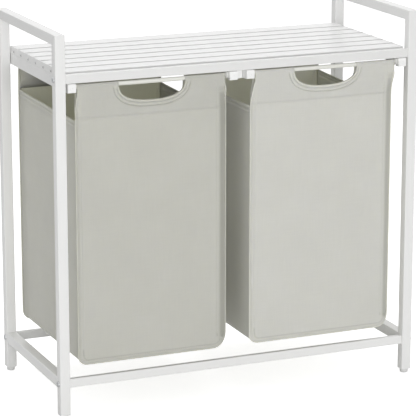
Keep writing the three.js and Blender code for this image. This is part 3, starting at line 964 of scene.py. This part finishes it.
            # Drawn in along the stitch rows
            hem = humps(z, facing_ridges, facing_end)
            raised = hole_ring["height"] * smooth((hole_ring["edge"] - hole_gap) / hole_ring["over"])
            groove = humps(hole_gap, hole_grooves) - raised
            groove = groove * smooth((rod_z - z - groove_fade["below_rod"]) / groove_fade["over"])
            drawn = (hem - groove) * smooth(gap / groove_fade["seam"])

            outer = face - turned - pucker + hang + drawn
            inner = face - turned + hang - layers_apart(z, hole_gap)
            y = np.where(t < rod_z, outer, np.where(down > 0, inner, rod_y + wrap_radius * np.cos(over)))

            # Painted shade where the right edge turns away from the light, and along the rows and grooves
            full = smooth(deep / turned_edge["right"][1])
            edge_painted_shade = smooth(back * edge_painted_shade_rise) * full * (spread > 0)
            row_painted_shade = humps(hole_gap, hole_painted_shade) * (z < rod_z - rim_clear)
            row_painted_shade = row_painted_shade + humps(z, facing_painted_shade, facing_end)
            row_painted_shade = row_painted_shade + humps(gap, seam_painted_shade, wide) * (z < bottom + base_painted_shade_reach)
            shade = np.where(t < rod_z, np.maximum(edge_painted_shade, row_painted_shade), 0)
            return np.stack([across_x(s, z) + spread * back, toward * y, z], axis=1), shade

        facing_half = half - facing_inset
        top_side = resample([
            (half, flap_top), (half, fold_end), (half - 0.0004, fold_end + 0.02), (facing_half, top_end),
        ], trim_step)
        foot = resample([(facing_half, top_end), (-facing_half, top_end)], facing_step)
        left_side = top_side[::-1] * np.array([-1, 1])
        outline = np.concatenate([seam[:-1], top_side[:-1], foot[:-1], left_side[:-1]])
        xs = np.arange(0.022 - half, half - 0.020, facing_step)
        rows = [beside(seam, gap) for gap in seam_mesh_rows]
        rows += [beside(drop[::2], -gap) for gap in hole_mesh_rows]
        rows += [np.stack([xs, np.full_like(xs, facing_end + rise)], axis=1) for rise in facing_mesh_rows]
        flat, faces = cut_cloth(outline, [hole], rows)
        hung, shade = place_panel(flat)
        panel = cloth_piece(f"{bag}_bag_{end}_cloth", flat, faces, hung, cloth, flip=toward > 0)
        # The painted shade is kept on the mesh as a point attribute
        mark = panel.data.attributes.new("painted_shade", "FLOAT", "POINT")
        mark.data.foreach_set("value", shade.astype(np.float32))
        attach(panel, body)
        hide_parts(f"{bag}_bag_{end}_panel")

        def roll(line, section, proud=0.0):
            """A narrow roll of binding along a line of the flat panel, standing a little off its edge."""
            tangent = unit(np.gradient(line, axis=0))
            away = np.stack([tangent[:, 1], np.zeros(len(line)), -tangent[:, 0]], axis=1)
            placed = place_panel(line)[0]
            ahead = unit(np.gradient(placed, axis=0))
            away = square_to(away, ahead)
            return swept(placed, away, np.cross(ahead, away), ring(*section) + np.array([proud, 0]))

        # Binding on both layers round the hand hole, and on the free side edges of the facing
        low_rim = drop[drop[:, 1] < rod_z - rim_clear]
        back_rim = low_rim * np.array([1, -1]) + np.array([0, fold_sum])
        facing_side = left_side[left_side[:, 1] > fold_end + rim_clear]
        rolls = [
            roll(low_rim, hole_roll["front"], hole_roll_proud),
            roll(back_rim, hole_roll["facing"]),
            roll(facing_side, facing_side_roll),
            roll(facing_side * np.array([-1, 1]), facing_side_roll),
        ]
        trim_piece(f"{bag}_bag_{end}_hole_binding", rolls, cloth, body)

        # Welt along the seam with the strip
        welt_flat = seam_path(trim_step)
        wide, deep, spread = seam_turn(welt_flat, toward)
        tangent = unit(np.gradient(welt_flat, axis=0))
        across_at = across_x(welt_flat[:, 0], welt_flat[:, 1]) + spread
        path = np.stack([across_at, toward * (face - deep), welt_flat[:, 1]], axis=1)
        lean = np.full(len(tangent), toward * welt_lean)
        out = unit(np.stack([tangent[:, 1], lean, -tangent[:, 0]], axis=1))
        ahead = np.stack([tangent[:, 0], np.zeros(len(tangent)), tangent[:, 1]], axis=1)
        up = np.cross(ahead, out)
        fade = smooth((flap_top - welt_fade["top"] - path[:, 2]) / welt_fade["over"])
        full = welt_fade["least"] + (1 - welt_fade["least"]) * fade
        fin = (ring(*welt_section) + np.array([welt_proud, 0]))[None] * full[:, None, None]
        trim_piece(f"{bag}_bag_{end}_welt", [swept(path, out, up, fin)], cloth, body)

        # Stitches beside the welt, round the hand hole and along the foot of the facing
        seam_line = beside(welt_flat, wide)
        s, z = seam_line[:, 0], seam_line[:, 1]
        on_side = (z > bottom + stitch_ends["above_base"]) & (z < flap_top - stitch_ends["below_flap"])
        on_base = (z < bottom + stitch_ends["base"]) & (np.abs(s) < half - stitch_ends["corner"])
        xs = np.arange(stitch_ends["facing"] - half, half - stitch_ends["facing"], trim_step)
        stitches = []
        for line in (
            seam_line[on_side & (s < 0)],
            seam_line[on_side & (s > 0)],
            seam_line[on_base],
            beside(drop, -hole_row),
            np.stack([xs, np.full(len(xs), facing_end + facing_row)], axis=1),
        ):
            placed = place_panel(line)[0]
            stitches += stitch_row(placed, np.tile([0.0, toward, 0.0], (len(placed), 1)))
        trim_piece(f"{bag}_bag_{end}_stitches", stitches, thread, body)

    # Strip: both sides and the base in one length between the two seams
    total = seam_length[-1]

    def side_edge(hand):
        """The top edge of a side on the flat, from the front seam to the back one, sagging between them."""
        share = np.linspace(0, 1, round(2 * face / trim_step))
        down = flap_top - side_top[hand] + side_sag * 4 * share * (1 - share)
        along = down if hand == "left" else total - down
        return np.stack([along, face * (2 * share - 1)], axis=1)

    side_edges = {hand: side_edge(hand) for hand in sides}

    def place_strip(flat):
        """Points on the strip for points of its flat pattern: along the seam, and across to the back."""
        p, w = flat[:, 0], flat[:, 1]
        s0, z0 = (np.interp(p, seam_length, seam[:, k]) for k in range(2))
        ns, nz = (np.interp(p, seam_length, seam_out[:, k]) for k in range(2))
        deep = [np.interp(p, seam_length, seam_turn(seam, toward)[1]) for toward in (-1, 1)]
        spread = np.interp(p, seam_length, seam_turn(seam)[2]) * (1 - smooth((w + face) / spread_reach))
        y = w / face * (face - np.where(w < 0, *deep))

        # The sides sag in between the seams, and the base has a few folds
        centre = np.cos(np.clip(w / face, -1, 1) * math.pi / 2)
        tall = smooth((z0 - bottom) / base_reach)
        fold = np.sin(z0 * side_fold["up"] + w * side_fold["across"] + side_fold["start"][bag])
        crease = np.sin(w * side_crease["across"] + z0 * side_crease["up"])
        out = -side_hollow * centre * tall
        out = out + side_fold["height"] * centre * tall * fold
        out = out + side_crease["height"] * np.sqrt(centre) * tall * crease
        out = out - base_fold["height"] * centre * (1 - tall) * np.sin(s0 * base_fold["along"])

        # The hem stands out along the top edges
        near_top = np.minimum(p, total - p) < hem_reach
        gap = np.full(len(p), 1.0)
        for hand, reach in (("left", p < hem_reach), ("right", p > total - hem_reach)):
            if reach.any():
                gap[reach] = nearest(flat[reach], side_edges[hand])[0]
        hem = humps(gap, hem_ridges) * smooth((face - hem_fade["seam"] - np.abs(w)) / hem_fade["over"])
        out = out + np.where(near_top, hem, 0)
        return np.stack([across_x(s0, z0) + spread + ns * out, y, z0 + nz * out], axis=1)

    first, last = side_edges["left"][0, 0], side_edges["right"][0, 0]
    between = seam_length[(seam_length > first + 0.001) & (seam_length < last - 0.001)]
    lengthwise = np.concatenate([[first], between, [last]])
    front_edge = np.stack([lengthwise, np.full(len(lengthwise), -face)], axis=1)
    back_edge = front_edge[::-1] * np.array([1, -1])
    outline = np.concatenate([
        side_edges["left"][::-1][:-1], front_edge[:-1], side_edges["right"][:-1], back_edge[:-1],
    ])
    rows = []
    for hand, direction in (("left", 1), ("right", -1)):
        low_edge = side_edges[hand][np.abs(side_edges[hand][:, 1]) < face - 0.004]
        rows += [low_edge[::2] + np.array([direction * gap, 0]) for gap in hem_mesh_rows]
    flat, faces = cut_cloth(outline, [], rows)
    strip = cloth_piece(f"{bag}_bag_side_and_base_cloth", flat, faces, place_strip(flat), cloth)
    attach(strip, body)
    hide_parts(f"{bag}_bag_side_strip")

    # Rolled hem on each side's top edge, and its stitches
    for hand, direction in (("left", 1), ("right", -1)):
        edge = side_edges[hand]
        path = place_strip(edge)
        ahead = unit(np.gradient(path, axis=0))
        out = square_to(np.tile([-direction, 0.0, 0.0], (len(path), 1)), ahead)
        up = np.cross(ahead, out)
        fuller = (hem_roll["middle"] - hem_roll["end"]) * smooth((face - 0.001 - np.abs(edge[:, 1])) / 0.006)
        section = ring(1, 1)[None] * (hem_roll["end"] + fuller)[:, None, None]
        trim_piece(f"{bag}_bag_{hand}_side_hem", [swept(path, out, up, section)], cloth, body)
        low_edge = edge[np.abs(edge[:, 1]) < face - 0.006] + np.array([direction * hem_row, 0])
        line = place_strip(low_edge)
        stitches = stitch_row(line, np.tile([-direction, 0.0, 0.0], (len(line), 1)))
        trim_piece(f"{bag}_bag_{hand}_hem_stitches", stitches, thread, body)

low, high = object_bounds()
